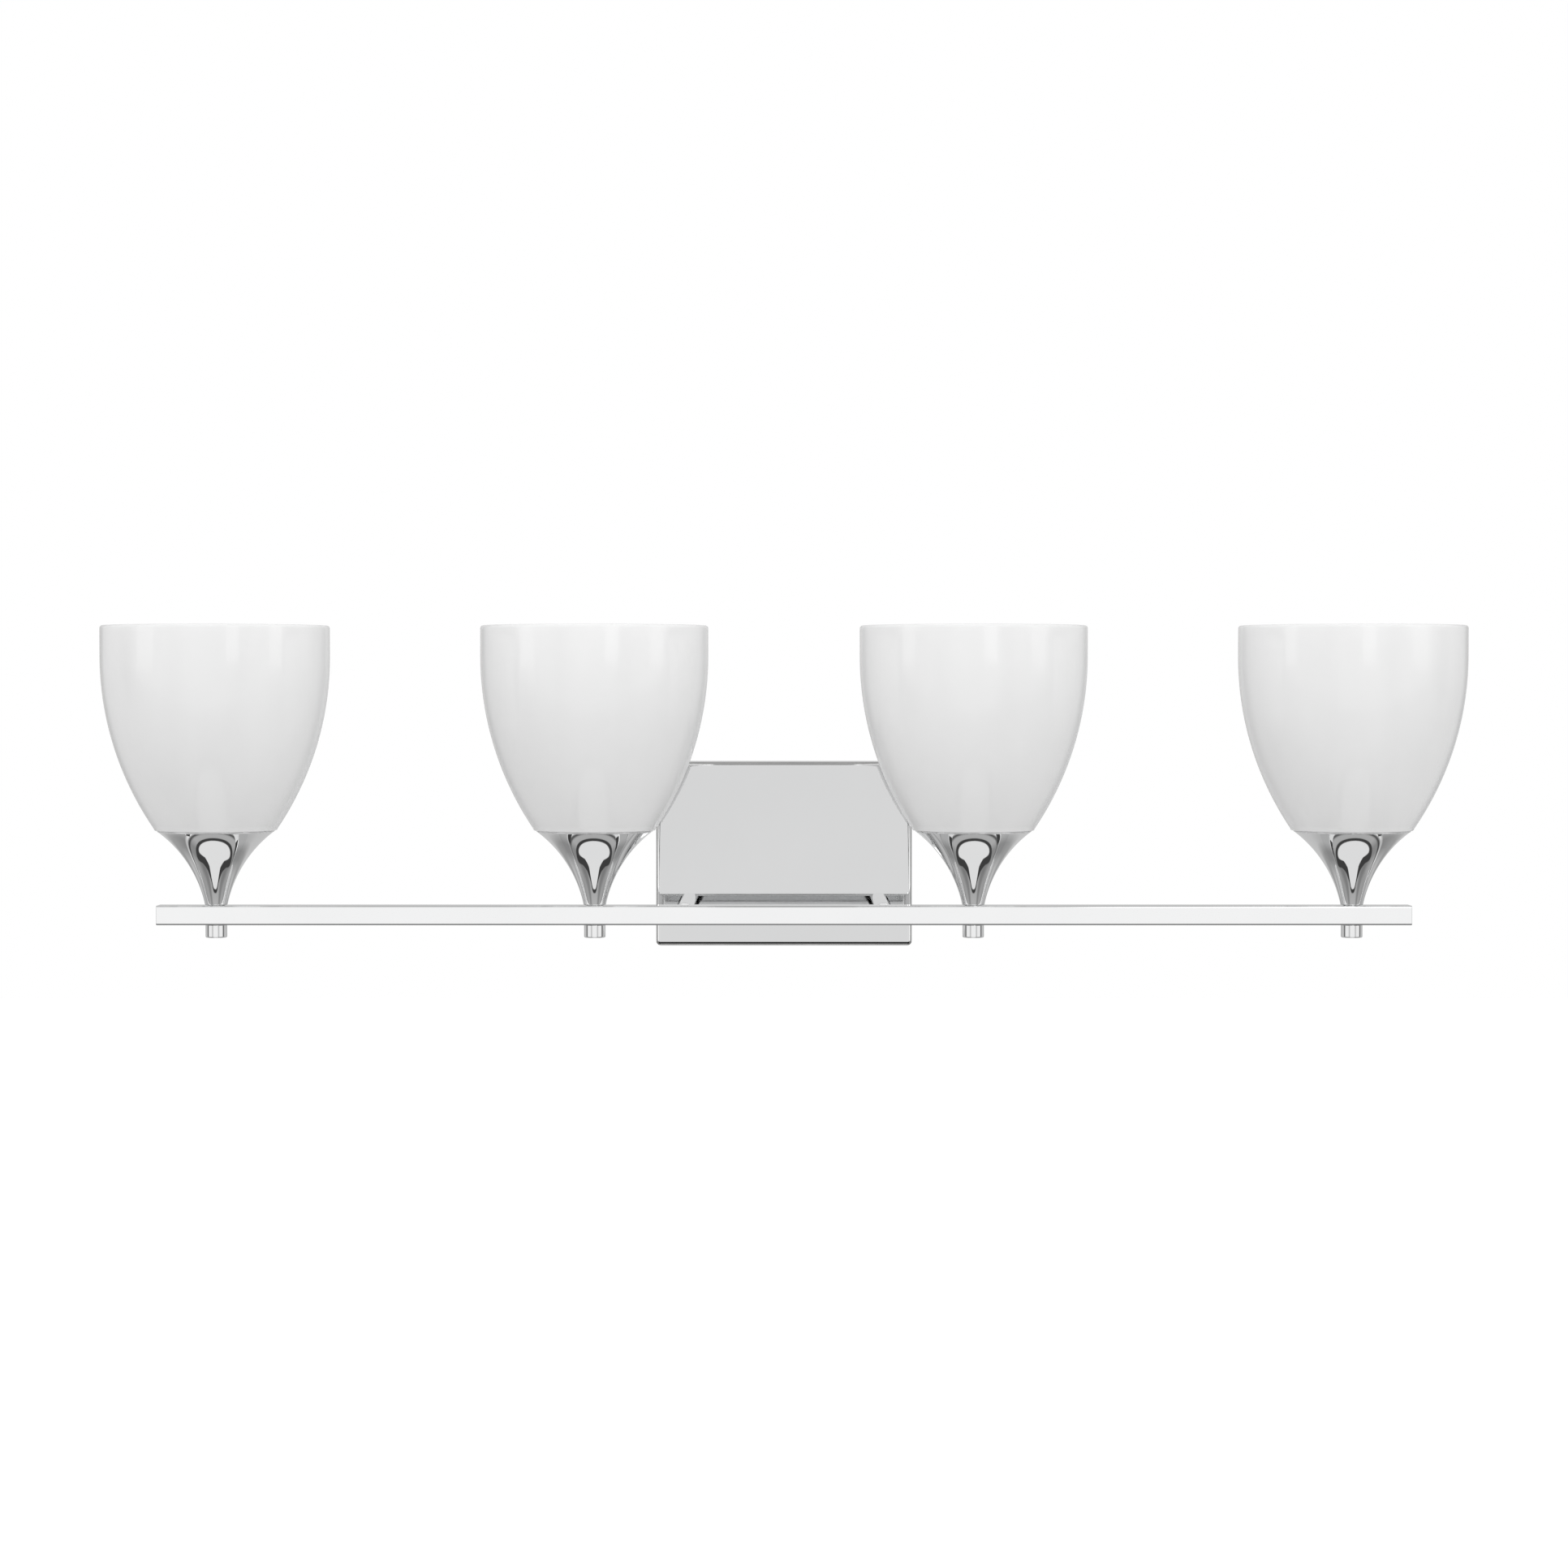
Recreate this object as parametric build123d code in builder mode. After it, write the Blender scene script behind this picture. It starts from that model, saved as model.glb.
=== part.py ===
"""Vanity light bar: four bell-shaped glass shades in trumpet cups on a square bar.

Origin: on the wall, at the centre of the mounting bracket. +X runs along the bar, +Z is up, and -Y
points out of the wall, so the fixture's front faces -Y.
"""

from build123d import *
from math import sqrt, sin, cos, radians
import os

# ---------------------------------------------------------------- driving sizes, millimetres
lamp_count = 4
lamp_pitch = 243.5  # from one lamp's axis to the next

bar_overhang = 37.6  # bar past the outer lamps' axes
bar_height = 12.5
bar_depth = 16.0
bar_wall = 1.2
bar_corner = 1.2  # outer edge radius of the tube
bar_standoff = 92.0  # wall to the bar's axis
bar_drop = 36.2  # box centre down to the bar's axis
end_cap_depth = 5.0

plate_width = 169.5
plate_height = 122.0
plate_depth = 25.0
plate_sheet = 1.2
plate_front_radius = 3.0
plate_corner_radius = 3.4

arm_inset = 20.7  # from the plate's side edge in to the arm's axis
arm_wall = 1.2
arm_nipple_margin = 1.25  # bar's back face left above and below a nipple
arm_nipple_gap = 0.9  # between a nipple and the arm around it
arm_nipple_wall = 1.4
arm_nipple_end = 1.0  # nipple past its nut
arm_nut_wall = 2.0
arm_nut_thickness = 4.0
lock_washer_thickness = 1.5

bracket_height = 32.0
bracket_sheet = 2.0
bracket_tab = 17.0  # how far the bent ends reach forward
box_screw_spacing = 79.4
box_slot_width = 4.8
box_slot_length = 14.3
wire_hole_radius = 11.0
ground_hole_offset = 24.0
ground_screw_radius = 2.0
ground_head_height = 2.4
ground_head_edge = 0.6
tab_gap = 0.5  # between a bent end and the plate's side

plate_screw_radius = 1.7
plate_screw_length = 9.0
plate_screw_edge = 0.3
plate_screw_key = 1.5  # across the flats of the key's socket
plate_screw_key_depth = 2.0
plate_screw_back = 10.0  # set screws' distance from the wall

cup_height = 48.2
cup_foot_radius = 7.1
cup_flare_radius = 79.0  # the trumpet's outer curve
cup_wall = 1.7
cup_neck = 14.0  # solid length above the foot
cup_rim_inset = 0.5  # the rim stands this far inside the glass's foot
seat_lip = 4.3  # rim width outside the seat disc's recess

stem_nut_flats = 13.0
stem_nut_thickness = 4.0
stem_window = 3.6

seat_disc_thickness = 1.2
gasket_thickness = 0.8
gasket_inner_gap = 1.0

finial_radius = 6.9
finial_height = 8.2
finial_edge = 0.8
finial_floor = 1.8

socket_barrel_radius = 19.5
socket_barrel_height = 25.0
socket_hub_radius = 15.0
socket_hub_depth = 20.0
socket_hub_floor = 6.0
socket_cavity_radius = 14.3
socket_cavity_drop = 1.0  # cavity's floor below the seat
socket_floor = 3.0
socket_chamber_radius = 9.0
shell_sheet = 0.7
shell_gap = 0.1
shell_drop = 2.0  # shell's edge below the barrel's top

glass_rim_radius = 73.1
glass_foot_radius = 38.6
glass_height = 131.55
glass_band = 19.8  # straight band below the rim
glass_wall = 3.6
glass_foot_edge = 1.0
glass_hole_gap = 1.5

ring_width = 6.5
ring_height = 6.0
ring_notches = 8
ring_notch_width = 4.0
ring_notch_depth = 2.0

bulb_radius = 30.0
bulb_length = 109.0
bulb_base_height = 24.0
bulb_tip_height = 5.0
bulb_tip_radius = 3.5
bulb_tip_skirt = 5.0
bulb_tip_rise = 1.5
bulb_base_shoulder = 2.0
bulb_neck_radius = 13.6
bulb_neck_height = 10.0
bulb_flank_angle = 45  # where the globe meets the neck, below level
bulb_glass = 1.0

contact_reach = 7.0  # from a lampholder's axis to its shell terminal
contact_height = 1.0
terminal_radius = 1.2
centre_contact_radius = 2.0
terminal_drop = 3.0
shell_floor_hole = 5.0

lead_radius = 0.9
lead_pair = 1.1  # half the spacing of the two leads in a stem
lead_side_gap = 0.5  # beside a lead that passes a stem
pan_lane = 3.0  # spacing of the leads inside the plate
lead_straight = 2.0  # straight run at a terminal and above a stem
level_gap = 6.0  # from a connector's mouth to the turns below it
nipple_to_black = 3.3  # from the nipples' ends back to the black leads
bracket_to_ground = 3.4  # from the bracket's front to the ground lead
ground_turn_high = -6.0
ground_turn_low = -10.0
connector_radius = 6.2
connector_length = 16.0
connector_taper = 6.0
connector_reach = 16.0  # from the plate's centre line to a lamp connector's axis
connector_low = 18.0  # height of the lamp connectors' mouths
ground_connector_high = -16.0

# ---------------------------------------------------------------- clearances
slide_gap = 0.4
thread_gap = 0.1
hole_gap = 0.2
bulb_gap = 0.5
lead_gap = 0.1

# ---------------------------------------------------------------- worked out from the above
lamp_x = [(i - (lamp_count - 1) / 2) * lamp_pitch for i in range(lamp_count)]
bar_length = (lamp_count - 1) * lamp_pitch + 2 * bar_overhang
bar_y = -bar_standoff
bar_z = -bar_drop
bar_top = bar_z + bar_height / 2
bar_bottom = bar_z - bar_height / 2
bar_back = bar_y + bar_depth / 2

arm_x = plate_width / 2 - arm_inset
arm_length = -plate_depth - bar_back
arm_nipple_radius = bar_height / 2 - arm_nipple_margin
arm_nipple_bore = arm_nipple_radius - arm_nipple_wall
arm_radius = arm_nipple_radius + arm_nipple_gap + arm_wall
arm_nut_flats = 2 * (arm_nipple_radius + arm_nut_wall)
lead_lane = (arm_nipple_bore - lead_radius - lead_gap) / sqrt(2)  # four leads in a square

stem_radius = bar_depth / 2 - bar_wall - 2 * (lead_radius + lead_side_gap)
stem_bore = lead_pair + lead_radius + lead_gap

joint_z = bar_top + cup_height
cup_rim_radius = glass_foot_radius - cup_rim_inset
seat_radius = cup_rim_radius - seat_lip
seat_depth = seat_disc_thickness + gasket_thickness
barrel_bottom = joint_z - gasket_thickness
barrel_top = joint_z + socket_barrel_height
cavity_floor = joint_z - socket_cavity_drop
hub_bottom = joint_z - socket_hub_depth
chamber_top = cavity_floor - socket_floor
chamber_bottom = hub_bottom + socket_hub_floor
terminal_z = chamber_top - terminal_drop
cup_shoulder = bar_top + cup_neck
stem_top = chamber_bottom
stem_end = bar_bottom - (finial_height - finial_floor)
shell_outer = socket_cavity_radius - shell_gap
bulb_base_radius = shell_outer - shell_sheet - bulb_gap
contact_top = cavity_floor + contact_height
bulb_tip = contact_top + slide_gap
ring_inner = socket_barrel_radius + slide_gap
ring_outer = ring_inner + ring_width
glass_hole = socket_barrel_radius + glass_hole_gap
glass_floor_top = joint_z + glass_wall


def arc_below(start, end, radius):
    """Centre of the circle through two points (r, z) that lies outside and below the chord."""
    dr = end[0] - start[0]
    dz = end[1] - start[1]
    chord = sqrt(dr * dr + dz * dz)
    reach = sqrt(radius * radius - chord * chord / 4)
    return (
        (start[0] + end[0]) / 2 + reach * dz / chord,
        (start[1] + end[1]) / 2 - reach * dr / chord,
    )


flare_centre = arc_below((cup_foot_radius, bar_top), (cup_rim_radius, joint_z), cup_flare_radius)


def flare(z, inwards=0.0):
    """Radius of the trumpet's wall at height z, moved inwards by a wall."""
    reach = cup_flare_radius + inwards
    return flare_centre[0] - sqrt(reach * reach - (z - flare_centre[1]) ** 2)


side_drop = glass_height - glass_band
side_pull = glass_rim_radius - glass_foot_radius
side_radius = (side_drop**2 + side_pull**2) / (2 * side_pull)
band_z = joint_z + side_drop


def bell(z, inwards=0.0):
    """Radius of the glass bell's side at height z, below its straight band."""
    reach = side_radius - inwards
    return glass_rim_radius - side_radius + sqrt(reach * reach - (band_z - z) ** 2)


def save(part, name):
    """Label one finished piece and write it."""
    part.label = name
    export_step(part, "parts/" + name + ".step")


def lamp_plane(index, z):
    """Level plane at height z with its origin on one lamp's axis."""
    return Plane((lamp_x[index], bar_y, z), x_dir=(1, 0, 0), z_dir=(0, 0, 1))


def lamp_section(index):
    """Upright plane through one lamp's axis: sketch x is the radius, sketch y is the height."""
    return Plane((lamp_x[index], bar_y, 0), x_dir=(1, 0, 0), z_dir=(0, -1, 0))


def lamp_axis(index):
    return Axis((lamp_x[index], bar_y, 0), (0, 0, 1))


def facing(x, y, z):
    """Upright plane facing the wall's room side, so an extrusion with a minus sign goes into +Y."""
    return Plane((x, y, z), x_dir=(1, 0, 0), z_dir=(0, -1, 0))


os.makedirs("parts", exist_ok=True)

# ---------------------------------------------------------------- backplate: a pan open to the wall
with BuildPart() as backplate:
    with BuildSketch(facing(0, 0, 0)):
        RectangleRounded(plate_width, plate_height, plate_corner_radius)
    extrude(amount=plate_depth)
    fillet(backplate.faces().sort_by(Axis.Y)[0].edges(), plate_front_radius)
    with BuildSketch(facing(0, 0, 0)):
        RectangleRounded(
            plate_width - 2 * plate_sheet,
            plate_height - 2 * plate_sheet,
            plate_corner_radius - plate_sheet,
        )
    extrude(amount=plate_depth - plate_sheet, mode=Mode.SUBTRACT)
    with BuildSketch(facing(0, -plate_depth, bar_z)):
        with Locations((-arm_x, 0), (arm_x, 0)):
            Circle(arm_nipple_radius + hole_gap)
    extrude(amount=-2 * plate_sheet, mode=Mode.SUBTRACT)
    with BuildSketch(Plane.YZ.offset(-plate_width / 2)):
        with Locations((-plate_screw_back, 0)):
            Circle(plate_screw_radius + hole_gap)
    extrude(amount=plate_width, mode=Mode.SUBTRACT)
save(backplate.part, "backplate")

# ---------------------------------------------------------------- bracket on the wall box
tab_span = plate_width - 2 * plate_sheet - 2 * tab_gap
ground_z = bracket_height / 2 - 3 * ground_screw_radius
with BuildPart() as mounting_bracket:
    with BuildSketch(facing(0, 0, 0)):
        Rectangle(tab_span, bracket_height)
        with Locations((-box_screw_spacing / 2, 0), (box_screw_spacing / 2, 0)):
            SlotOverall(box_slot_length, box_slot_width, mode=Mode.SUBTRACT)
        Circle(wire_hole_radius, mode=Mode.SUBTRACT)
        with Locations((-ground_hole_offset, ground_z)):
            Circle(ground_screw_radius + thread_gap, mode=Mode.SUBTRACT)
    extrude(amount=bracket_sheet)
    for side in (-1, 1):
        with BuildSketch(Plane.YZ.offset(side * tab_span / 2)):
            with Locations((-bracket_tab / 2, 0)):
                Rectangle(bracket_tab, bracket_height / 2)
            with Locations((-plate_screw_back, 0)):
                Circle(plate_screw_radius + thread_gap, mode=Mode.SUBTRACT)
        extrude(amount=-side * bracket_sheet)
save(mounting_bracket.part, "mounting_bracket")

with BuildPart() as ground_screw:
    with BuildSketch(facing(-ground_hole_offset, -bracket_sheet, ground_z)):
        Circle(2 * ground_screw_radius)
    extrude(amount=ground_head_height)
    with BuildSketch(facing(-ground_hole_offset, -bracket_sheet, ground_z)):
        Circle(ground_screw_radius)
    extrude(amount=-bracket_sheet)
    chamfer(ground_screw.edges().filter_by(GeomType.CIRCLE).sort_by(Axis.Y)[0], ground_head_edge)
save(ground_screw.part, "ground_screw")

with BuildPart() as plate_set_screws:
    for side in (-1, 1):
        with BuildSketch(Plane.YZ.offset(side * plate_width / 2)):
            with Locations((-plate_screw_back, 0)):
                Circle(plate_screw_radius)
        extrude(amount=-side * plate_screw_length)
    rims = plate_set_screws.edges().filter_by(GeomType.CIRCLE)
    chamfer([rims.sort_by(Axis.X)[0], rims.sort_by(Axis.X)[-1]], plate_screw_edge)
    for side in (-1, 1):
        with BuildSketch(Plane.YZ.offset(side * plate_width / 2)):
            with Locations((-plate_screw_back, 0)):
                RegularPolygon(plate_screw_key / 2, 6, major_radius=False)
        extrude(amount=-side * plate_screw_key_depth, mode=Mode.SUBTRACT)
save(plate_set_screws.part, "plate_set_screws")

# ---------------------------------------------------------------- arms between plate and bar
for side, name in ((-1, "arm_left"), (1, "arm_right")):
    with BuildPart() as arm:
        with BuildSketch(facing(side * arm_x, bar_back, bar_z)):
            Circle(arm_radius)
            Circle(arm_radius - arm_wall, mode=Mode.SUBTRACT)
        extrude(amount=-arm_length)
    save(arm.part, name)

nipple_front = bar_back - bar_wall
washer_front = -plate_depth + plate_sheet
nipple_back = washer_front + lock_washer_thickness + arm_nut_thickness + arm_nipple_end
with BuildPart() as arm_nipples:
    with BuildSketch(facing(0, nipple_front, bar_z)):
        with Locations((-arm_x, 0), (arm_x, 0)):
            Circle(arm_nipple_radius)
            Circle(arm_nipple_bore, mode=Mode.SUBTRACT)
    extrude(amount=nipple_front - nipple_back)
save(arm_nipples.part, "arm_nipples")

with BuildPart() as arm_lock_washers:
    with BuildSketch(facing(0, washer_front, bar_z)):
        with Locations((-arm_x, 0), (arm_x, 0)):
            Circle(arm_nut_flats / 2)
            Circle(arm_nipple_radius + hole_gap, mode=Mode.SUBTRACT)
    extrude(amount=-lock_washer_thickness)
save(arm_lock_washers.part, "arm_lock_washers")

with BuildPart() as arm_nuts:
    with BuildSketch(facing(0, washer_front + lock_washer_thickness, bar_z)):
        with Locations((-arm_x, 0), (arm_x, 0)):
            RegularPolygon(arm_nut_flats / 2, 6, major_radius=False)
            Circle(arm_nipple_radius + thread_gap, mode=Mode.SUBTRACT)
    extrude(amount=-arm_nut_thickness)
save(arm_nuts.part, "arm_nuts")

# ---------------------------------------------------------------- bar and its end caps
bar_end = bar_length / 2
with BuildPart() as bar_tube:
    with BuildSketch(Plane((-bar_end, bar_y, bar_z), x_dir=(0, 1, 0), z_dir=(1, 0, 0))):
        RectangleRounded(bar_depth, bar_height, bar_corner)
        Rectangle(bar_depth - 2 * bar_wall, bar_height - 2 * bar_wall, mode=Mode.SUBTRACT)
    extrude(amount=bar_length)
    with BuildSketch(Plane((0, bar_y, bar_bottom), x_dir=(1, 0, 0), z_dir=(0, 0, 1))):
        with Locations(*[(x, 0) for x in lamp_x]):
            Circle(stem_radius + hole_gap)
    extrude(amount=bar_height, mode=Mode.SUBTRACT)
    with BuildSketch(facing(0, bar_back, bar_z)):
        with Locations((-arm_x, 0), (arm_x, 0)):
            Circle(arm_nipple_radius + thread_gap)
    extrude(amount=bar_wall, mode=Mode.SUBTRACT)
save(bar_tube.part, "bar_tube")

plug_depth = bar_depth - 2 * bar_wall
plug_height = bar_height - 2 * bar_wall
for side, name in ((-1, "bar_end_cap_left"), (1, "bar_end_cap_right")):
    with BuildPart() as end_cap:
        with BuildSketch(Plane((side * bar_end, bar_y, bar_z), x_dir=(0, 1, 0), z_dir=(1, 0, 0))):
            Rectangle(plug_depth, plug_height)
        extrude(amount=-side * end_cap_depth)
    save(end_cap.part, name)

# ---------------------------------------------------------------- one lamp: cup, stem, finial
for i in range(lamp_count):
    number = str(i + 1)
    section = lamp_section(i)
    axis = lamp_axis(i)
    half_z = (bar_top + joint_z) / 2
    inner_half_z = (cup_shoulder + joint_z) / 2

    with BuildPart() as cup:
        with BuildSketch(section):
            with BuildLine():
                Line((0, bar_top), (cup_foot_radius, bar_top))
                ThreePointArc(
                    (cup_foot_radius, bar_top),
                    (flare(half_z), half_z),
                    (cup_rim_radius, joint_z),
                )
                Line((cup_rim_radius, joint_z), (0, joint_z))
                Line((0, joint_z), (0, bar_top))
            make_face()
        revolve(axis=axis)
        with BuildSketch(section):
            with BuildLine():
                Line((0, cup_shoulder), (flare(cup_shoulder, cup_wall), cup_shoulder))
                ThreePointArc(
                    (flare(cup_shoulder, cup_wall), cup_shoulder),
                    (flare(inner_half_z, cup_wall), inner_half_z),
                    (flare(joint_z, cup_wall), joint_z),
                )
                Line((flare(joint_z, cup_wall), joint_z), (0, joint_z))
                Line((0, joint_z), (0, cup_shoulder))
            make_face()
        revolve(axis=axis, mode=Mode.SUBTRACT)
        with BuildSketch(lamp_plane(i, joint_z)):
            Circle(seat_radius)
        extrude(amount=-seat_depth, mode=Mode.SUBTRACT)
        with BuildSketch(lamp_plane(i, bar_top)):
            Circle(stem_radius + hole_gap)
        extrude(amount=cup_neck, mode=Mode.SUBTRACT)
    save(cup.part, "cup_" + number)

    with BuildPart() as stem:
        with BuildSketch(lamp_plane(i, stem_end)):
            Circle(stem_radius)
            Circle(stem_bore, mode=Mode.SUBTRACT)
        extrude(amount=stem_top - stem_end)
        with BuildSketch(facing(lamp_x[i], bar_y - stem_radius, bar_z)):
            Rectangle(stem_window, bar_height - 2 * bar_wall)
        extrude(amount=-2 * stem_radius, mode=Mode.SUBTRACT)
    save(stem.part, "stem_" + number)

    with BuildPart() as finial:
        with BuildSketch(lamp_plane(i, bar_bottom - thread_gap)):
            Circle(finial_radius)
        extrude(amount=-finial_height)
        chamfer(finial.edges().sort_by(Axis.Z)[0], finial_edge)
        with BuildSketch(lamp_plane(i, bar_bottom - thread_gap)):
            Circle(stem_radius + thread_gap)
        extrude(amount=-(finial_height - finial_floor), mode=Mode.SUBTRACT)
    save(finial.part, "finial_" + number)

# ---------------------------------------------------------------- lampholders
for i in range(lamp_count):
    number = str(i + 1)
    with BuildPart() as socket:
        with BuildSketch(lamp_plane(i, hub_bottom)):
            Circle(socket_hub_radius)
        extrude(amount=barrel_bottom - hub_bottom)
        with BuildSketch(lamp_plane(i, barrel_bottom)):
            Circle(socket_barrel_radius)
        extrude(amount=barrel_top - barrel_bottom)
        with BuildSketch(lamp_plane(i, cavity_floor)):
            Circle(socket_cavity_radius)
        extrude(amount=barrel_top - cavity_floor, mode=Mode.SUBTRACT)
        with BuildSketch(lamp_plane(i, chamber_bottom)):
            Circle(socket_chamber_radius)
        extrude(amount=chamber_top - chamber_bottom, mode=Mode.SUBTRACT)
        with BuildSketch(lamp_plane(i, hub_bottom)):
            Circle(stem_radius + thread_gap)
        extrude(amount=chamber_bottom - hub_bottom, mode=Mode.SUBTRACT)
        with BuildSketch(lamp_plane(i, chamber_top)):
            Circle(centre_contact_radius)
            with Locations((contact_reach, 0)):
                Circle(terminal_radius)
        extrude(amount=socket_floor, mode=Mode.SUBTRACT)
    save(socket.part, "socket_" + number)

    with BuildPart() as socket_shell:
        with BuildSketch(lamp_plane(i, contact_top)):
            Circle(shell_outer)
            Circle(shell_outer - shell_sheet, mode=Mode.SUBTRACT)
        extrude(amount=barrel_top - shell_drop - contact_top)
        with BuildSketch(lamp_plane(i, cavity_floor)):
            Circle(shell_outer)
            Circle(shell_floor_hole, mode=Mode.SUBTRACT)
        extrude(amount=contact_top - cavity_floor)
    save(socket_shell.part, "socket_shell_" + number)

with BuildPart() as socket_contacts:
    for i in range(lamp_count):
        with BuildSketch(lamp_plane(i, terminal_z)):
            Circle(centre_contact_radius)
        extrude(amount=contact_top - terminal_z)
        with BuildSketch(lamp_plane(i, cavity_floor)):
            Circle(2 * centre_contact_radius)
        extrude(amount=contact_top - cavity_floor)
        with BuildSketch(lamp_plane(i, terminal_z)):
            with Locations((contact_reach, 0)):
                Circle(terminal_radius)
        extrude(amount=terminal_drop + socket_floor)
save(socket_contacts.part, "socket_contacts")

with BuildPart() as stem_nuts:
    for i in range(lamp_count):
        with BuildSketch(lamp_plane(i, cup_shoulder)):
            RegularPolygon(stem_nut_flats / 2, 6, major_radius=False)
            Circle(stem_radius + thread_gap, mode=Mode.SUBTRACT)
        extrude(amount=stem_nut_thickness)
save(stem_nuts.part, "stem_nuts")

with BuildPart() as seat_discs:
    for i in range(lamp_count):
        with BuildSketch(lamp_plane(i, joint_z - seat_depth)):
            Circle(seat_radius)
            Circle(socket_hub_radius + hole_gap, mode=Mode.SUBTRACT)
        extrude(amount=seat_disc_thickness)
save(seat_discs.part, "seat_discs")

with BuildPart() as seat_gaskets:
    for i in range(lamp_count):
        with BuildSketch(lamp_plane(i, joint_z - gasket_thickness)):
            Circle(seat_radius)
            Circle(socket_barrel_radius + gasket_inner_gap, mode=Mode.SUBTRACT)
        extrude(amount=gasket_thickness)
save(seat_gaskets.part, "seat_gaskets")

# ---------------------------------------------------------------- glass bells and their rings
rim_z = joint_z + glass_height
rim_half = glass_wall / 2
for i in range(lamp_count):
    number = str(i + 1)
    half_z = (joint_z + band_z) / 2
    inner_half_z = (glass_floor_top + band_z) / 2
    with BuildPart() as glass_shade:
        with BuildSketch(lamp_section(i)):
            with BuildLine():
                Line((glass_hole, joint_z), (glass_foot_radius - glass_foot_edge, joint_z))
                Line(
                    (glass_foot_radius - glass_foot_edge, joint_z),
                    (bell(joint_z + glass_foot_edge), joint_z + glass_foot_edge),
                )
                ThreePointArc(
                    (bell(joint_z + glass_foot_edge), joint_z + glass_foot_edge),
                    (bell(half_z), half_z),
                    (glass_rim_radius, band_z),
                )
                Line((glass_rim_radius, band_z), (glass_rim_radius, rim_z - rim_half))
                ThreePointArc(
                    (glass_rim_radius, rim_z - rim_half),
                    (glass_rim_radius - rim_half, rim_z),
                    (glass_rim_radius - glass_wall, rim_z - rim_half),
                )
                Line(
                    (glass_rim_radius - glass_wall, rim_z - rim_half),
                    (glass_rim_radius - glass_wall, band_z),
                )
                ThreePointArc(
                    (glass_rim_radius - glass_wall, band_z),
                    (bell(inner_half_z, glass_wall), inner_half_z),
                    (bell(glass_floor_top, glass_wall), glass_floor_top),
                )
                Line((bell(glass_floor_top, glass_wall), glass_floor_top), (glass_hole, glass_floor_top))
                Line((glass_hole, glass_floor_top), (glass_hole, joint_z))
            make_face()
        revolve(axis=lamp_axis(i))
    save(glass_shade.part, "glass_shade_" + number)

    with BuildPart() as shade_ring:
        with BuildSketch(lamp_plane(i, glass_floor_top)):
            Circle(ring_outer)
            Circle(ring_inner, mode=Mode.SUBTRACT)
            with PolarLocations(ring_outer, ring_notches):
                Rectangle(2 * ring_notch_depth, ring_notch_width, mode=Mode.SUBTRACT)
        extrude(amount=ring_height)
    save(shade_ring.part, "shade_ring_" + number)

# ---------------------------------------------------------------- lamps
base_bottom = bulb_tip + bulb_tip_height
base_top = bulb_tip + bulb_base_height + bulb_tip_height
globe_z = bulb_tip + bulb_length - bulb_radius
flank_sine = sin(radians(bulb_flank_angle))
flank_cosine = cos(radians(bulb_flank_angle))
neck_top = base_top + bulb_neck_height
throat = bulb_neck_radius - bulb_glass
inner_radius = bulb_radius - bulb_glass
flank_sweep = 90 + bulb_flank_angle
for i in range(lamp_count):
    number = str(i + 1)
    with BuildPart() as bulb_base:
        with BuildSketch(lamp_section(i)):
            with BuildLine():
                Polyline(
                    (0, bulb_tip),
                    (bulb_tip_radius, bulb_tip),
                    (bulb_tip_skirt, bulb_tip + bulb_tip_rise),
                    (bulb_base_radius - bulb_base_shoulder, base_bottom),
                    (bulb_base_radius, base_bottom + bulb_base_shoulder / 2),
                    (bulb_base_radius, base_top),
                    (0, base_top),
                    close=True,
                )
            make_face()
        revolve(axis=lamp_axis(i))
    save(bulb_base.part, "bulb_base_" + number)

    with BuildPart() as bulb_globe:
        with BuildSketch(lamp_section(i)):
            with BuildLine():
                Line((throat, base_top), (bulb_neck_radius, base_top))
                Line((bulb_neck_radius, base_top), (bulb_neck_radius, neck_top))
                Line(
                    (bulb_neck_radius, neck_top),
                    (bulb_radius * flank_cosine, globe_z - bulb_radius * flank_sine),
                )
                CenterArc((0, globe_z), bulb_radius, -bulb_flank_angle, flank_sweep)
                Line((0, globe_z + bulb_radius), (0, globe_z + inner_radius))
                CenterArc((0, globe_z), inner_radius, 90, -flank_sweep)
                Line(
                    (inner_radius * flank_cosine, globe_z - inner_radius * flank_sine),
                    (throat, neck_top),
                )
                Line((throat, neck_top), (throat, base_top))
            make_face()
        revolve(axis=lamp_axis(i))
    save(bulb_globe.part, "bulb_globe_" + number)

# ---------------------------------------------------------------- wiring
lead_y = (bar_depth / 2 - bar_wall + stem_radius) / 2  # middle of the gap beside a stem
black_layer = -nipple_back - nipple_to_black  # distances from the wall
ground_layer = bracket_sheet + bracket_to_ground
white_layer = (black_layer + ground_layer) / 2
# per polarity: place in a stem and in the bar (-1 front, +1 back), layer in the plate, connector's x
polarities = {
    "black": (-1, -black_layer, -connector_reach),
    "white": (1, -white_layer, connector_reach),
}


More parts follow.
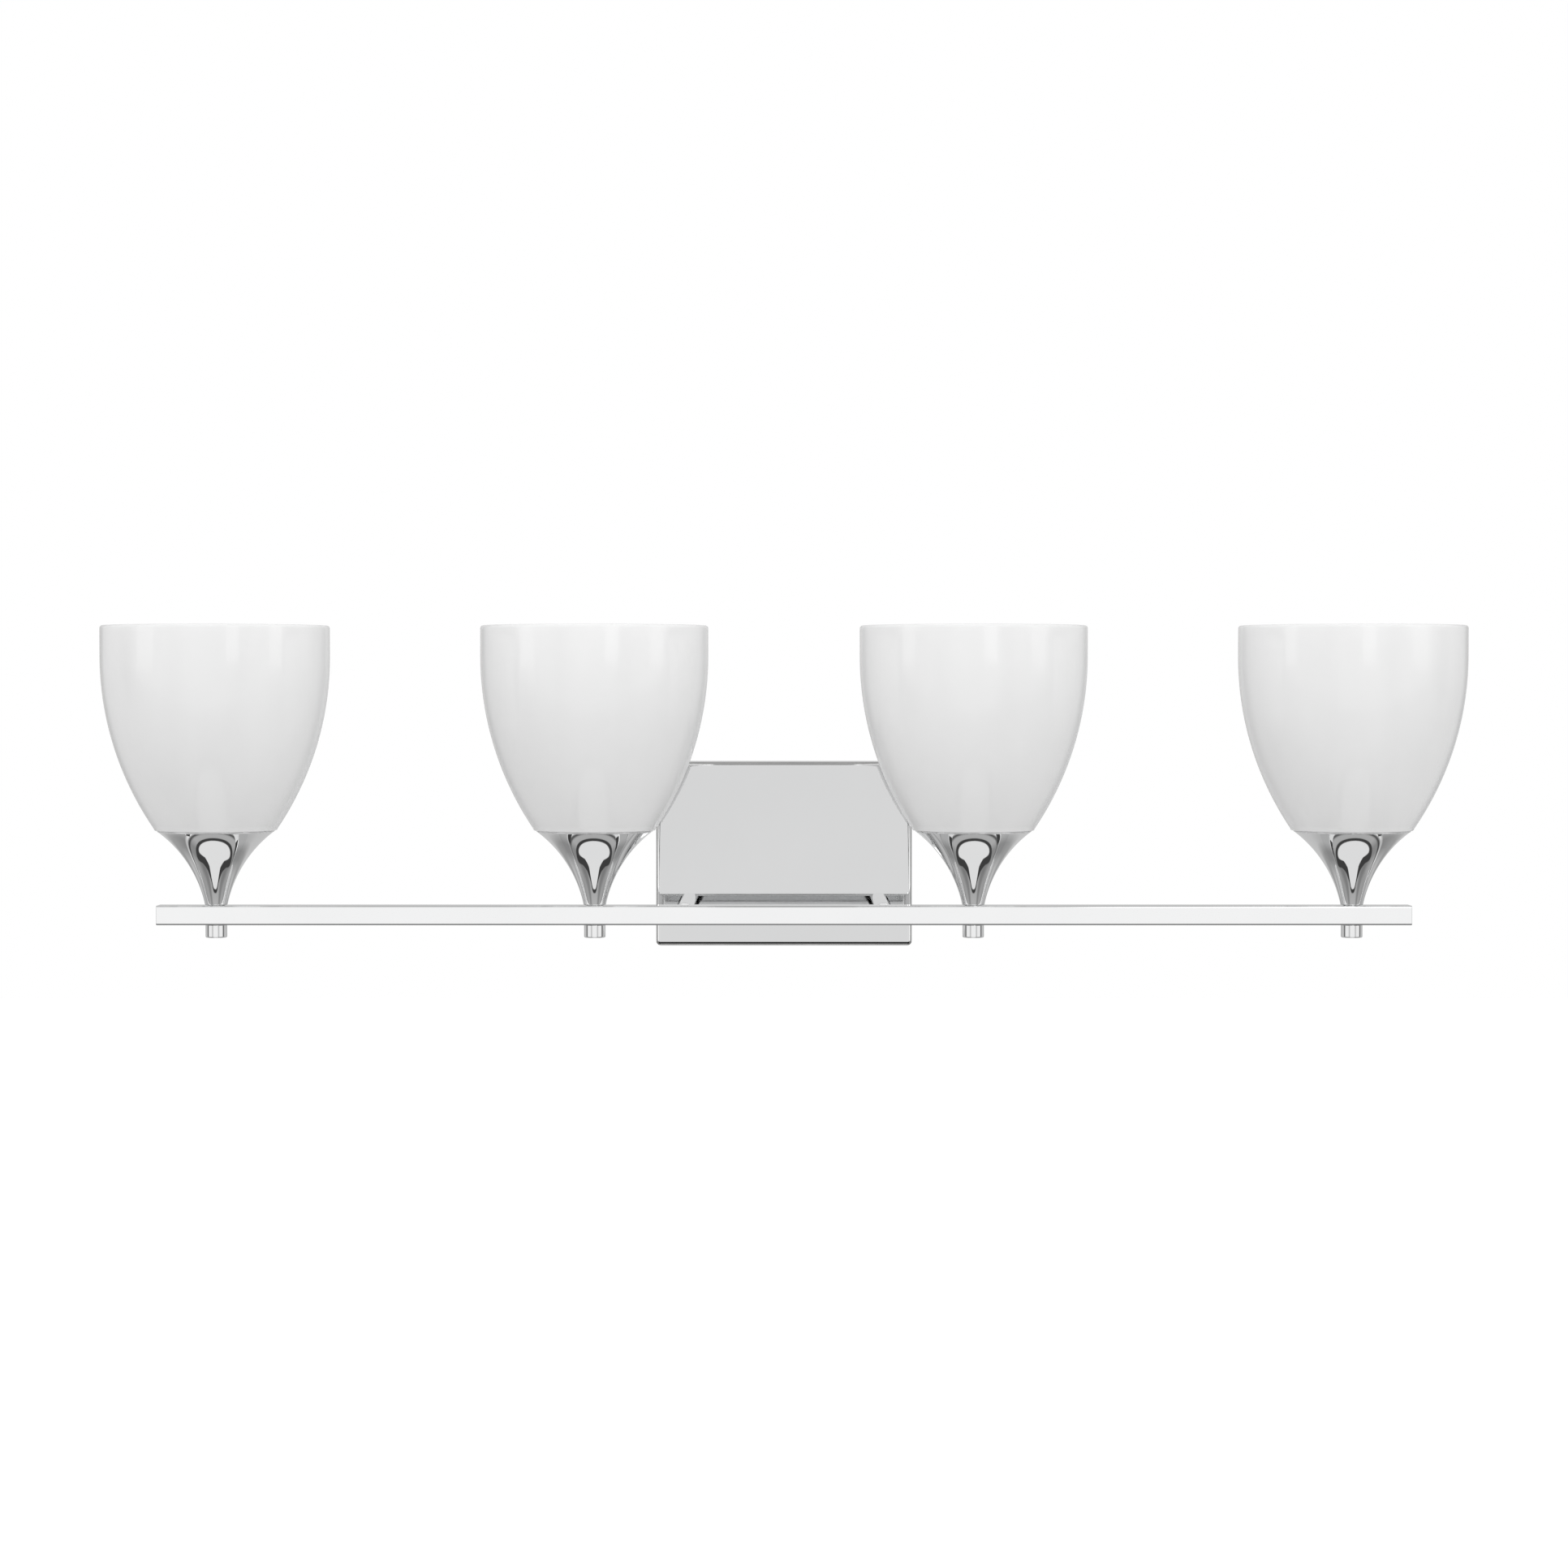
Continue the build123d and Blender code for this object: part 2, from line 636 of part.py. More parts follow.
def lead_route(index, polarity):
    """Points from a lampholder's terminal down the stem, along the bar and an arm to a connector."""
    across, layer, connector_x = polarities[polarity]
    x = lamp_x[index]
    side = 1 if x > 0 else -1
    rank = 1 if abs(x) > lamp_pitch else -1  # an outer lamp's leads keep to the upper row
    terminal_x = x + contact_reach if across > 0 else x
    row_z = bar_z + rank * lead_lane
    arm_lane = side * (arm_x + across * lead_lane)
    turn_x = arm_lane if rank > 0 else arm_lane - side * pan_lane
    level = connector_low - (2.0 if rank > 0 else 3.0) * pan_lane - level_gap
    column = connector_x + side * (1.5 if rank > 0 else 0.5) * pan_lane
    return [
        (terminal_x, bar_y, terminal_z),
        (terminal_x, bar_y, terminal_z - lead_straight),
        (x, bar_y + across * lead_pair, stem_top + lead_straight),
        (x, bar_y + across * lead_pair, row_z),
        (x, bar_y + across * lead_y, row_z),
        (arm_lane, bar_y + across * lead_y, row_z),
        (arm_lane, layer, row_z),
        (turn_x, layer, row_z),
        (turn_x, layer, level),
        (column, layer, level),
        (column, layer, connector_low),
    ]


def lead(route):
    """A plain round wire: a straight run between each two points and a ball at each bend."""
    wire = None
    for start, end in zip(route, route[1:]):
        run = Vector(*end) - Vector(*start)
        if run.length > 0:
            piece = Plane(origin=start, z_dir=run) * Pos(0, 0, run.length / 2)
            piece = piece * Cylinder(lead_radius, run.length)
            wire = piece if wire is None else wire + piece
    for bend in route[1:-1]:
        wire = wire + Pos(*bend) * Sphere(lead_radius)
    return wire


for polarity in polarities:
    leads = [lead(lead_route(i, polarity)) for i in range(lamp_count)]
    save(Compound(children=leads), "lamp_leads_" + polarity)

ground_route = [
    (-ground_hole_offset, -ground_layer, ground_z + 2 * ground_screw_radius),
    (-ground_hole_offset, -ground_layer, ground_turn_high),
    (0, -ground_layer, ground_turn_low),
    (0, -ground_layer, ground_connector_high),
]
save(lead(ground_route), "ground_lead")

with BuildPart() as wire_connectors:
    for across, layer, connector_x in polarities.values():
        with BuildSketch(Plane((connector_x, layer, connector_low), x_dir=(1, 0, 0), z_dir=(0, 0, 1))):
            Circle(connector_radius)
        extrude(amount=connector_length, taper=connector_taper)
    ground_mouth = Plane((0, -white_layer, ground_connector_high), x_dir=(1, 0, 0), z_dir=(0, 0, -1))
    with BuildSketch(ground_mouth):
        Circle(connector_radius)
    extrude(amount=connector_length, taper=connector_taper)
save(wire_connectors.part, "wire_connectors")

print("overall width", bar_length, "joint", joint_z, "rim", rim_z, "side radius", side_radius)
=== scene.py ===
from math import radians
import bpy
import numpy as np
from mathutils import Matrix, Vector


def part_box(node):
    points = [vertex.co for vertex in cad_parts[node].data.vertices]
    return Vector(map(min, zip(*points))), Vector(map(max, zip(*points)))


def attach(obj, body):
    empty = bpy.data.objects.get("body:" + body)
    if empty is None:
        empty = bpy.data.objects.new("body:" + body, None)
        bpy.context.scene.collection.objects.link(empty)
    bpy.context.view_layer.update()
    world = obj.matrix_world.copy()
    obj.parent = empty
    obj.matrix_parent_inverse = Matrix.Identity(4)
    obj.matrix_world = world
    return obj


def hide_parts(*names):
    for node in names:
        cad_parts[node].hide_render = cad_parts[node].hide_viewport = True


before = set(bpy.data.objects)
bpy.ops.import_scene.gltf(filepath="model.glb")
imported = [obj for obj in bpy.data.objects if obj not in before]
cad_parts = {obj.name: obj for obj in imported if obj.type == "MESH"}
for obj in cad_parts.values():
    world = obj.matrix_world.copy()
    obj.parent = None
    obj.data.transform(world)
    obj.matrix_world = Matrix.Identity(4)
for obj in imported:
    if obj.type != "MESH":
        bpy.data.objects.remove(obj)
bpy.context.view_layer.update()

lampNumbers = ["1", "2", "3", "4"]
axisGap = 0.00001  # a closed end of a lathe stops this near its axis
supportReach = 1.12  # a support point beside an arc lies this share of the arc's reach from the corner
smallestRadius = 0.00002
print("frame loaded:", len(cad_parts), "nodes")


# shapes: every surface is a grid of points worked out as whole arrays

def meshFromArrays(name, points, quads, caps=()):
    # points is n by 3, quads is m by 4, caps are lists of point numbers; faces end up pointing outwards
    triangles = np.vstack([quads[:, [0, 1, 2]], quads[:, [0, 2, 3]]])
    fans = [np.column_stack([np.full(len(c) - 2, c[0]), c[1:-1], c[2:]]) for c in map(np.array, caps)]
    a, b, c = (points[np.vstack([triangles, *fans])[:, k]] for k in range(3))
    volume = np.einsum("ij,ij->i", a, np.cross(b, c)).sum() / 6  # signed, so inside-out is negative
    if volume < 0:
        quads = quads[:, ::-1]
        caps = [list(reversed(c)) for c in caps]
    mesh = bpy.data.meshes.new(name)
    mesh.from_pydata(points, [], quads.tolist() + [list(c) for c in caps])
    mesh.polygons.foreach_set("use_smooth", np.ones(len(mesh.polygons), bool))
    mesh.update()
    piece = bpy.data.objects.new(name, mesh)
    bpy.context.scene.collection.objects.link(piece)
    return piece


def gridQuads(rows, columns, loop):
    # four point numbers for each cell; the columns always wrap round, the rows only in a loop
    row = np.arange(rows if loop else rows - 1)[:, None]
    column = np.arange(columns)[None, :]
    nextRow, nextColumn = (row + 1) % rows, (column + 1) % columns
    corners = [row * columns + column, row * columns + nextColumn,
               nextRow * columns + nextColumn, nextRow * columns + column]
    return np.stack([np.broadcast_to(c, (row.size, columns)) for c in corners], -1).reshape(-1, 4)


def loft(name, rings, loop=True):
    # rings is k by n by 3: each ring joins the next, and the ends join up or are capped
    count, around, _ = rings.shape
    ends = [] if loop else [list(range(around))[::-1], list(range((count - 1) * around, count * around))]
    return meshFromArrays(name, rings.reshape(-1, 3), gridQuads(count, around, loop), ends)


def lathe(name, profile, centre, segments=160, loop=True, wave=None):
    # a point (r, z) of the profile goes to (x + r cos t, y + r sin t, z), with t once round
    return loft(name, turned(profile, centre, segments, wave), loop)


def turned(profile, centre, segments, wave=None):
    # the rings of a lathe on their own; wave adds its own change of radius at each r, z and t
    t = np.linspace(0, 2 * np.pi, segments, endpoint=False)
    r = np.repeat(profile[:, :1], segments, axis=1)
    z = np.repeat(profile[:, 1:], segments, axis=1)
    if wave is not None:
        r = r + wave(r, z, t[None, :])
    return np.stack([centre[0] + r * np.cos(t), centre[1] + r * np.sin(t), z], -1)


def joinedLofts(name, ringSets):
    # several closed ring sets, all of one size, as one mesh
    count, around, _ = ringSets[0].shape
    quads = gridQuads(count, around, True)
    shifted = [quads + k * count * around for k in range(len(ringSets))]
    return meshFromArrays(name, np.concatenate([s.reshape(-1, 3) for s in ringSets]), np.vstack(shifted))


def arc(centre, radius, start, end, steps):
    # points on a circle, from one angle in degrees to another
    t = np.radians(np.linspace(start, end, steps))
    return np.column_stack([centre[0] + radius * np.cos(t), centre[1] + radius * np.sin(t)])


def softened(corners, radii, steps=8, loop=True):
    # a line through the corners with each turn rounded to its radius; a support point just before and
    # after each arc keeps the flats flat under smooth shading
    corners = np.array(corners, float)
    count = len(corners)
    path = []
    for i in range(count):
        here = corners[i]
        if radii[i] <= 0 or (not loop and i in (0, count - 1)):
            path.append(here[None])
            continue
        back, ahead = corners[i - 1] - here, corners[(i + 1) % count] - here
        u, v = back / np.hypot(*back), ahead / np.hypot(*ahead)
        half = np.arccos(np.clip(u @ v, -1, 1)) / 2
        reach = radii[i] / np.tan(half)
        middle = here + (u + v) / np.hypot(*(u + v)) * radii[i] / np.sin(half)
        first, last = here + u * reach - middle, here + v * reach - middle
        turn = np.arctan2(first[0] * last[1] - first[1] * last[0], first @ last)
        t = np.linspace(0, turn, steps + 1)[:, None]
        side = np.array([-first[1], first[0]])
        curve = middle + first * np.cos(t) + side * np.sin(t)
        path.append(np.vstack([here + u * reach * supportReach, curve, here + v * reach * supportReach]))
    return np.vstack(path)


def rectangle(halfWide, halfHigh, radius, steps=8):
    # a rectangle's outline with rounded corners, always with the same number of points
    corners = [(-halfWide, -halfHigh), (halfWide, -halfHigh), (halfWide, halfHigh), (-halfWide, halfHigh)]
    return softened(corners, [max(radius, smallestRadius)] * 4, steps)


def lampCentre(number):
    low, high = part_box("stem_" + number)
    return (low[0] + high[0]) / 2, (low[1] + high[1]) / 2


def place(piece, body, slot, material, *nodes):
    # every new piece rides on a body and stands for its CAD nodes
    piece.data.materials.append(material)
    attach(piece, body)
    if nodes:
        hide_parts(*nodes)
    return piece


# materials

def newMaterial(name):
    material = bpy.data.materials.new(name)
    material.use_nodes = True
    tree = material.node_tree
    return material, tree, tree.nodes["Principled BSDF"]


def setSockets(shader, values):
    for socket, value in values.items():
        shader.inputs[socket].default_value = value


def noise(tree, scale, detail=3.0, stretch=(1, 1, 1), roughness=0.5):
    # object-space noise, squeezed along chosen directions
    place3d = tree.nodes.new("ShaderNodeMapping")
    place3d.inputs["Scale"].default_value = stretch
    where = tree.nodes.new("ShaderNodeTexCoord")
    pattern = tree.nodes.new("ShaderNodeTexNoise")
    pattern.inputs["Scale"].default_value = scale
    pattern.inputs["Detail"].default_value = detail
    pattern.inputs["Roughness"].default_value = roughness
    tree.links.new(where.outputs["Object"], place3d.inputs["Vector"])
    tree.links.new(place3d.outputs["Vector"], pattern.inputs["Vector"])
    return pattern.outputs["Fac"]


def directions(tree, output):
    # x, y and z of a place on the piece, or of a way out into the room
    where = tree.nodes.new("ShaderNodeTexCoord")
    parts = tree.nodes.new("ShaderNodeSeparateXYZ")
    tree.links.new(where.outputs[output], parts.inputs["Vector"])
    return parts.outputs["X"], parts.outputs["Y"], parts.outputs["Z"]


def spread(tree, source, low, high, fromLow=0.3, fromHigh=0.7):
    # a pattern turned into a range of values
    ramp = tree.nodes.new("ShaderNodeMapRange")
    setSockets(ramp, {"From Min": fromLow, "From Max": fromHigh, "To Min": low, "To Max": high})
    tree.links.new(source, ramp.inputs["Value"])
    return ramp.outputs["Result"]


def tint(tree, source, dark, light):
    # a pattern turned into a blend of two colours
    ramp = tree.nodes.new("ShaderNodeValToRGB")
    ramp.color_ramp.elements[0].position = 0.35
    ramp.color_ramp.elements[1].position = 0.65
    ramp.color_ramp.elements[0].color = (*dark, 1)
    ramp.color_ramp.elements[1].color = (*light, 1)
    tree.links.new(source, ramp.inputs["Fac"])
    return ramp.outputs["Color"]


def bump(tree, source, strength, distance):
    node = tree.nodes.new("ShaderNodeBump")
    node.inputs["Strength"].default_value = strength
    node.inputs["Distance"].default_value = distance
    tree.links.new(source, node.inputs["Height"])
    return node.outputs["Normal"]


def mathNode(tree, operation, first, second=None):
    # one sum; each side is a number or another node's output
    node = tree.nodes.new("ShaderNodeMath")
    node.operation = operation
    for socket, value in zip(node.inputs, (first, second)):
        if isinstance(value, (int, float)):
            socket.default_value = value
        elif value is not None:
            tree.links.new(value, socket)
    return node.outputs[0]


def toneRamp(tree, source, stops, low, high):
    # stops of (place, tone) between low and high
    ramp = tree.nodes.new("ShaderNodeValToRGB")
    spanned = mathNode(tree, "DIVIDE", mathNode(tree, "SUBTRACT", source, low), high - low)
    tree.links.new(spanned, ramp.inputs["Fac"])
    elements = ramp.color_ramp.elements
    while len(elements) < len(stops):
        elements.new(0.5)
    for element, (place, tone) in zip(elements, stops):
        element.position = (place - low) / (high - low)
        element.color = (tone, tone, tone, 1)
    return ramp.outputs["Color"]


def mixTones(tree, factor, first, second):
    choice = tree.nodes.new("ShaderNodeMix")
    choice.data_type = "RGBA"
    sockets = {"Factor": choice.inputs[0], "A": choice.inputs[6], "B": choice.inputs[7]}
    for name, value in (("Factor", factor), ("A", first), ("B", second)):
        if isinstance(value, (int, float)):
            sockets[name].default_value = (value, value, value, 1)
        else:
            tree.links.new(value, sockets[name])
    return choice.outputs[2]


def multiplied(tree, first, second):
    # one colour dimmed by another
    product = tree.nodes.new("ShaderNodeMix")
    product.data_type, product.blend_type = "RGBA", "MULTIPLY"
    product.inputs[0].default_value = 1.0
    tree.links.new(first, product.inputs[6])
    tree.links.new(second, product.inputs[7])
    return product.outputs[2]


def chromeMaterial(name, dark, light, roughLow, roughHigh, waviness, paintedLineStops=None):
    # plated metal: faint haze that comes and goes, and a long shallow waviness from the polishing;
    # paintedLineStops are (height, tone) pairs of a painted reflection, a dark line painted into the plating
    # on a rounded lower edge
    material, tree, shader = newMaterial(name)
    setSockets(shader, {"Metallic": 1.0})
    plating = tint(tree, noise(tree, 9.0, 4.0), dark, light)
    # painted reflection: the plating is darkened along a band of heights on the lower rounded edge
    if paintedLineStops:
        height = directions(tree, "Object")[2]
        line = toneRamp(tree, height, paintedLineStops, paintedLineStops[0][0], paintedLineStops[-1][0])
        plating = multiplied(tree, plating, line)
    tree.links.new(plating, shader.inputs["Base Color"])
    haze = spread(tree, noise(tree, 26.0, 6.0, (1, 1, 1.6), 0.62), roughLow, roughHigh)
    tree.links.new(haze, shader.inputs["Roughness"])
    tree.links.new(bump(tree, noise(tree, 42.0, 2.0), waviness, 0.0004), shader.inputs["Normal"])
    return material


def plateMaterial():
    # the pan: a softly greyed mirror face as painted shade, brighter rounded edges as painted highlight, a
    # dark painted reflection line on the lower edge, and a dull unpolished inside
    material, tree, shader = newMaterial("plateChrome")
    setSockets(shader, {"Metallic": 1.0})
    low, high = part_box("backplate")
    x, y, z = directions(tree, "Object")
    skin = panLook["skin"]
    depth = mathNode(tree, "SUBTRACT", y, low[1])
    behind = mathNode(tree, "GREATER_THAN", depth, skin)
    betweenSides = mathNode(tree, "LESS_THAN", mathNode(tree, "ABSOLUTE", x), high[0] - skin)
    betweenEnds = mathNode(tree, "LESS_THAN", mathNode(tree, "ABSOLUTE", z), high[2] - skin)
    within = mathNode(tree, "MULTIPLY", behind, mathNode(tree, "MULTIPLY", betweenSides, betweenEnds))
    # painted shade and painted highlight: the flat face is greyed with slight random tone, and the rounded
    # edges past faceEnd take a brighter painted highlight tone
    face = tint(tree, noise(tree, 9.0, 4.0), (0.70, 0.703, 0.705), (0.715, 0.718, 0.72))
    edge = mathNode(tree, "GREATER_THAN", depth, panLook["faceEnd"])
    outside = mixTones(tree, edge, face, panLook["paintedEdgeHighlight"])
    # painted reflection: a dark line painted along the lower rounded edge
    paintedLowerLine = toneRamp(tree, z, paintedLineStopsFrom("backplate", panLook["paintedLowerLine"]), low[2], 0.0)
    outside = multiplied(tree, outside, paintedLowerLine)
    bare = tint(tree, noise(tree, 90.0, 5.0), (0.40, 0.40, 0.39), (0.56, 0.56, 0.55))
    tree.links.new(mixTones(tree, within, outside, bare), shader.inputs["Base Color"])
    polished = spread(tree, noise(tree, 26.0, 6.0), 0.015, 0.035)
    dull = spread(tree, noise(tree, 180.0, 5.0), 0.30, 0.48)
    tree.links.new(mixTones(tree, within, polished, dull), shader.inputs["Roughness"])
    tree.links.new(bump(tree, noise(tree, 42.0, 2.0), 0.012, 0.0004), shader.inputs["Normal"])
    return material


def paintedLineStopsFrom(node, steps):
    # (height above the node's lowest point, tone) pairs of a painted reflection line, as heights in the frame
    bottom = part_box(node)[0][2]
    return [(bottom + rise, tone) for rise, tone in steps]


def steelMaterial(name, dark, light, grain):
    # plated, rolled or bare metal: soft blotches, a rolled grain and a duller shine
    material, tree, shader = newMaterial(name)
    setSockets(shader, {"Metallic": 1.0})
    tree.links.new(tint(tree, noise(tree, 120.0, 5.0), dark, light), shader.inputs["Base Color"])
    rolled = noise(tree, 240.0, 4.0, grain)
    tree.links.new(spread(tree, rolled, 0.24, 0.46), shader.inputs["Roughness"])
    tree.links.new(bump(tree, rolled, 0.25, 0.0003), shader.inputs["Normal"])
    return material


def opalMaterial():
    # cased opal glass: milky body with faint clouds, under a hard glossy skin with slow ripples
    material, tree, shader = newMaterial("opalGlass")
    look = {"Subsurface Weight": 0.35, "Subsurface Radius": (0.012, 0.012, 0.012), "Subsurface Scale": 1.0,
            "Specular IOR Level": 0.35, "Coat Weight": 0.35, "Coat Roughness": 0.03, "Coat IOR": 1.5}
    setSockets(shader, look)
    clouds = noise(tree, 14.0, 3.0, (1, 1, 0.6))
    tree.links.new(tint(tree, clouds, (0.80, 0.80, 0.80), (0.84, 0.84, 0.84)), shader.inputs["Base Color"])
    tree.links.new(spread(tree, noise(tree, 60.0, 4.0), 0.10, 0.17), shader.inputs["Roughness"])
    tree.links.new(bump(tree, noise(tree, 18.0, 1.0, (1, 1, 0.35)), 0.12, 0.0008), shader.inputs["Normal"])
    return material


def softMaterial(name, dark, light, rough, grainScale, depth, extra=None):
    # moulded or glazed surface: slight colour drift, fine grain and uneven gloss
    material, tree, shader = newMaterial(name)
    setSockets(shader, extra or {})
    tree.links.new(tint(tree, noise(tree, 35.0, 4.0), dark, light), shader.inputs["Base Color"])
    grain = noise(tree, grainScale, 5.0)
    tree.links.new(spread(tree, grain, rough[0], rough[1]), shader.inputs["Roughness"])
    tree.links.new(bump(tree, grain, 0.3, depth), shader.inputs["Normal"])
    return material


chrome = chromeMaterial("polishedChrome", (0.87, 0.872, 0.874), (0.91, 0.912, 0.914), 0.015, 0.045, 0.03)
# the pan's painted light: a brighter painted highlight tone for the rounded edges and a dark painted
# reflection line on the lower edge
panLook = {"skin": 0.0006, "faceEnd": 0.00004, "paintedEdgeHighlight": 0.97,
           "paintedLowerLine": [(0.0, 1.0), (0.0010, 1.0), (0.0014, 0.15), (0.0017, 0.01), (0.0024, 0.01),
                         (0.0028, 1.0)]}
# painted reflection: a dark line painted along the bar's lower rounded edge
barPaintedLine = [(0.0, 0.9), (0.0002, 0.30), (0.0008, 0.30), (0.0011, 1.0), (0.02, 1.0)]
barChrome = chromeMaterial("barChrome", (0.93, 0.933, 0.936), (0.95, 0.953, 0.955), 0.03, 0.06, 0.02,
                           paintedLineStopsFrom("bar_tube", barPaintedLine))
plateChrome = plateMaterial()
zincSteel = steelMaterial("zincSteel", (0.50, 0.51, 0.50), (0.68, 0.68, 0.66), (1, 1, 6))
greenSteel = steelMaterial("greenSteel", (0.03, 0.20, 0.07), (0.06, 0.32, 0.12), (1, 1, 1))
opal = opalMaterial()
frosted = softMaterial("frostedGlobe", (0.84, 0.84, 0.82), (0.88, 0.88, 0.86), (0.32, 0.42), 900.0, 0.0001,
                       {"Subsurface Weight": 0.3, "Subsurface Radius": (0.008, 0.008, 0.008)})
porcelain = softMaterial("porcelain", (0.80, 0.78, 0.73), (0.86, 0.84, 0.80), (0.12, 0.24), 160.0, 0.0002,
                         {"Coat Weight": 0.5})
silicone = softMaterial("silicone", (0.70, 0.70, 0.68), (0.78, 0.78, 0.76), (0.45, 0.6), 500.0, 0.0001)
insulationColours = {"blackInsulation": ((0.012, 0.012, 0.013), (0.03, 0.03, 0.03)),
                     "whiteInsulation": ((0.72, 0.72, 0.70), (0.80, 0.80, 0.78)),
                     "greenInsulation": ((0.02, 0.22, 0.06), (0.04, 0.30, 0.09))}
insulation = {name: softMaterial(name, dark, light, (0.3, 0.45), 300.0, 0.0001)
              for name, (dark, light) in insulationColours.items()}
connectorPlastic = softMaterial("connectorPlastic", (0.70, 0.30, 0.03), (0.80, 0.38, 0.05), (0.25, 0.4),
                                220.0, 0.0001)
brass = steelMaterial("brass", (0.62, 0.44, 0.16), (0.74, 0.56, 0.26), (1, 1, 4))
rolledMetal = steelMaterial("rolledMetal", (0.70, 0.70, 0.69), (0.82, 0.82, 0.81), (1, 1, 5))
print("materials made:", len(bpy.data.materials))


# glass bells

glass = {"wall": 0.0036, "band": 0.0198, "footRadius": 0.0386, "footEdge": 0.0011, "hole": 0.021,
         "holeLand": 0.004, "holeEdge": 0.0008, "floorEdge": 0.0030, "sideSteps": 48, "segments": 192}


def bellProfile(low, high, g):
    # outside: a flat foot, one long arc that ends upright, a straight band; a round rim; the same inside
    rim = (high[0] - low[0]) / 2
    foot, top, bottom = g["footRadius"], high[2], low[2]
    bandZ = top - g["band"]
    drop, pull = bandZ - bottom, rim - foot
    sideRadius = (drop**2 + pull**2) / (2 * pull)

    def side(z, inset):
        return rim - sideRadius + np.sqrt((sideRadius - inset) ** 2 - (bandZ - z) ** 2)

    outerZ = np.linspace(bottom + g["footEdge"], bandZ, g["sideSteps"])
    outer = np.column_stack([side(outerZ, 0.0), outerZ])
    floorTop = bottom + g["wall"]
    innerZ = np.linspace(bandZ, floorTop + g["floorEdge"], g["sideSteps"])
    inner = np.column_stack([side(innerZ, g["wall"]), innerZ])
    lip = g["wall"] / 2
    rimArc = arc((rim - lip, top - lip), lip, 0, 180, 15)
    footArc = arc((outer[0, 0] - g["footEdge"], bottom + g["footEdge"]), g["footEdge"], -90, -20, 7)
    floorArc = arc((inner[-1, 0] - g["floorEdge"], floorTop + g["floorEdge"]), g["floorEdge"], -10, -90, 8)
    hole, land = g["hole"], g["hole"] + g["holeLand"]
    holeEdge = softened([(land, floorTop), (hole, floorTop), (hole, bottom), (land, bottom)],
                        [0, g["holeEdge"], g["holeEdge"], 0], 5, False)
    return np.vstack([holeEdge, footArc, outer, rimArc, inner[:-1], floorArc])


for number in lampNumbers:
    low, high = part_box("glass_shade_" + number)
    shade = lathe("glassShade" + number, bellProfile(low, high, glass), lampCentre(number), glass["segments"])
    place(shade, "shade_body_" + number, "opal_glass", opal, "glass_shade_" + number)
print("glass bells made")


# trumpet cups and finials

cup = {"footRadius": 0.0071, "flareRadius": 0.079, "wall": 0.0017, "neck": 0.014, "bore": 0.0042,
       "seatLip": 0.0043, "seatDepth": 0.002, "seatEdge": 0.0003, "rimEdge": 0.0005, "rimLean": 0.0002,
       "shoulderEdge": 0.0004, "footEdge": 0.0003, "steps": 64}


def cupProfile(low, high, c):
    # one arc of a circle that lies outside the wall, from the narrow foot out to the rim
    rim = (high[0] - low[0]) / 2
    foot, top, bottom = c["footRadius"], high[2], low[2]
    run, rise = rim - foot, top - bottom
    chord = np.hypot(run, rise)
    reach = np.sqrt(c["flareRadius"] ** 2 - chord**2 / 4)
    centre = ((foot + rim) / 2 + reach * rise / chord, (bottom + top) / 2 - reach * run / chord)

    def wallRadius(z, inwards):
        return centre[0] - np.sqrt((c["flareRadius"] + inwards) ** 2 - (z - centre[1]) ** 2)

    z = np.linspace(bottom + c["footEdge"], top - c["rimEdge"], c["steps"])
    outer = np.column_stack([wallRadius(z, 0.0), z])
    shoulder, seatZ = bottom + c["neck"], top - c["seatDepth"]
    seat = rim - c["seatLip"]
    z = np.linspace(seatZ, shoulder, c["steps"])
    inner = np.column_stack([wallRadius(z, c["wall"]), z])
    rimEdge = softened([outer[-1], (rim - c["rimLean"], top), (seat, top), (seat, seatZ), inner[0]],
                       [0, c["rimEdge"], c["seatEdge"], c["seatEdge"], 0], 5, False)
    neck = softened([inner[-1], (c["bore"], shoulder), (c["bore"], bottom), outer[0]],
                    [0, c["shoulderEdge"], c["footEdge"], 0], 4, False)
    return np.vstack([outer[:-1], rimEdge, inner[1:-1], neck[:-1]])


finial = {"edge": 0.0008, "topEdge": 0.0003, "bore": 0.0041, "floor": 0.0018, "floorEdge": 0.0002}
for number in lampNumbers:
    low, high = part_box("cup_" + number)
    cupPiece = lathe("trumpetCup" + number, cupProfile(low, high, cup), lampCentre(number), 192)
    place(cupPiece, "frame", "polished_chrome", chrome, "cup_" + number)
    low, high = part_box("finial_" + number)
    radius = (high[0] - low[0]) / 2
    blind = low[2] + finial["floor"]
    corners = [(axisGap, low[2]), (radius, low[2]), (radius, high[2]), (finial["bore"], high[2]),
               (finial["bore"], blind), (axisGap, blind)]
    radii = [0, finial["edge"], finial["topEdge"], finial["topEdge"], finial["floorEdge"], 0]
    outline = softened(corners, radii, 8, False)
    capNut = lathe("finialCap" + number, outline, lampCentre(number), 96, loop=False)
    place(capNut, "finial_body_" + number, "polished_chrome", chrome, "finial_" + number)
print("cups and finials made")


# bar and its end caps

bar = {"wall": 0.0012, "corner": 0.0012, "innerCorner": 0.0002, "innerStep": 0.0036, "endEdge": 0.0004,
       "support": 1.3, "seam": 0.00015, "capEdge": 0.0003, "capCorner": 0.0006}


def boxRing(alongX, middle, halfDeep, halfHigh, radius):
    # one upright outline across the bar, at one place along it
    deep, high = rectangle(halfDeep, halfHigh, radius, 8).T
    return np.column_stack([np.full(len(deep), alongX), middle[1] + deep, middle[2] + high])


def roundedEnd(x, outward, edge, steps):
    # the places and insets of a rounded end: the inset grows by a quarter circle as x nears the end
    t = np.linspace(0, np.pi / 2, steps)
    return [(x - outward * edge * (1 - np.sin(a)), edge * (1 - np.cos(a))) for a in t]


